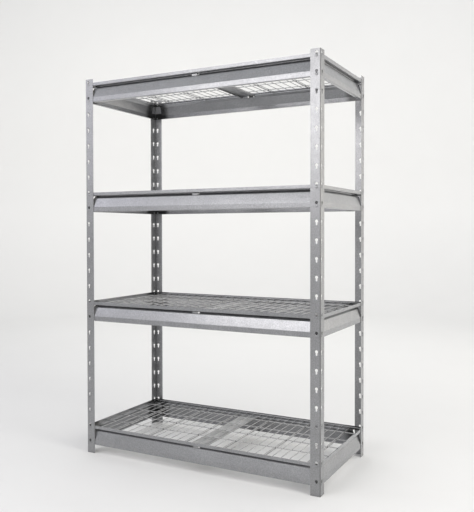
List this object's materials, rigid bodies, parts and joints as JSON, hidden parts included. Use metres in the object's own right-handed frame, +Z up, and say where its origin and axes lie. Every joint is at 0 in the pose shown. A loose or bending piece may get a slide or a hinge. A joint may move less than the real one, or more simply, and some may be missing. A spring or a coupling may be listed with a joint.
{
  "type": "boltless steel shelving",
  "caption": "Free-standing boltless steel shelving unit with keyhole angle uprights, folded rivet beams and welded wire decks.",
  "frame": {"origin": "bottom centre, on the floor midway between the four uprights", "axes": "+X to the right along the width, +Y to the back along the depth, +Z up"},
  "size_m": [1.223, 0.5936, 1.8288],
  "materials": {
    "upright_coat": "satin metallic silver-grey powder coat with a fine sparkle",
    "beam_coat": "satin metallic silver-grey powder coat with a fine sparkle",
    "support_coat": "satin metallic silver-grey powder coat",
    "rivet_steel": "satin silver-grey coat, lightly worn",
    "wire_coat": "satin silver-grey coat over welded steel wire"
  },
  "bodies": {
    "uprights": {"front_left_upright": "upright_coat", "front_right_upright": "upright_coat", "back_left_upright": "upright_coat", "back_right_upright": "upright_coat"},
    "top_shelf": {"top_front_beam": "beam_coat", "top_back_beam": "beam_coat", "top_left_beam": "beam_coat", "top_right_beam": "beam_coat", "top_front_rivets": "rivet_steel", "top_back_rivets": "rivet_steel", "top_left_rivets": "rivet_steel", "top_right_rivets": "rivet_steel", "top_centre_support": "support_coat"},
    "top_deck": {"top_wire_deck": "wire_coat"},
    "upper_shelf": {"upper_front_beam": "beam_coat", "upper_back_beam": "beam_coat", "upper_left_beam": "beam_coat", "upper_right_beam": "beam_coat", "upper_front_rivets": "rivet_steel", "upper_back_rivets": "rivet_steel", "upper_left_rivets": "rivet_steel", "upper_right_rivets": "rivet_steel", "upper_centre_support": "support_coat"},
    "upper_deck": {"upper_wire_deck": "wire_coat"},
    "lower_shelf": {"lower_front_beam": "beam_coat", "lower_back_beam": "beam_coat", "lower_left_beam": "beam_coat", "lower_right_beam": "beam_coat", "lower_front_rivets": "rivet_steel", "lower_back_rivets": "rivet_steel", "lower_left_rivets": "rivet_steel", "lower_right_rivets": "rivet_steel", "lower_centre_support": "support_coat"},
    "lower_deck": {"lower_wire_deck": "wire_coat"},
    "bottom_shelf": {"bottom_front_beam": "beam_coat", "bottom_back_beam": "beam_coat", "bottom_left_beam": "beam_coat", "bottom_right_beam": "beam_coat", "bottom_front_rivets": "rivet_steel", "bottom_back_rivets": "rivet_steel", "bottom_left_rivets": "rivet_steel", "bottom_right_rivets": "rivet_steel", "bottom_centre_support": "support_coat"},
    "bottom_deck": {"bottom_wire_deck": "wire_coat"}
  },
  "joints": [
    {"name": "top_shelf_unhook", "type": "slide", "parent": "uprights", "child": "top_shelf", "axis": [0, 0, 1], "range_m": [0, 0.0132]},
    {"name": "top_deck_lift", "type": "slide", "parent": "top_shelf", "child": "top_deck", "axis": [0, 0, 1], "range_m": [0, 0.04]},
    {"name": "upper_shelf_unhook", "type": "slide", "parent": "uprights", "child": "upper_shelf", "axis": [0, 0, 1], "range_m": [0, 0.0132]},
    {"name": "upper_deck_lift", "type": "slide", "parent": "upper_shelf", "child": "upper_deck", "axis": [0, 0, 1], "range_m": [0, 0.04]},
    {"name": "lower_shelf_unhook", "type": "slide", "parent": "uprights", "child": "lower_shelf", "axis": [0, 0, 1], "range_m": [0, 0.0132]},
    {"name": "lower_deck_lift", "type": "slide", "parent": "lower_shelf", "child": "lower_deck", "axis": [0, 0, 1], "range_m": [0, 0.04]},
    {"name": "bottom_shelf_unhook", "type": "slide", "parent": "uprights", "child": "bottom_shelf", "axis": [0, 0, 1], "range_m": [0, 0.0132]},
    {"name": "bottom_deck_lift", "type": "slide", "parent": "bottom_shelf", "child": "bottom_deck", "axis": [0, 0, 1], "range_m": [0, 0.04]}
  ]
}
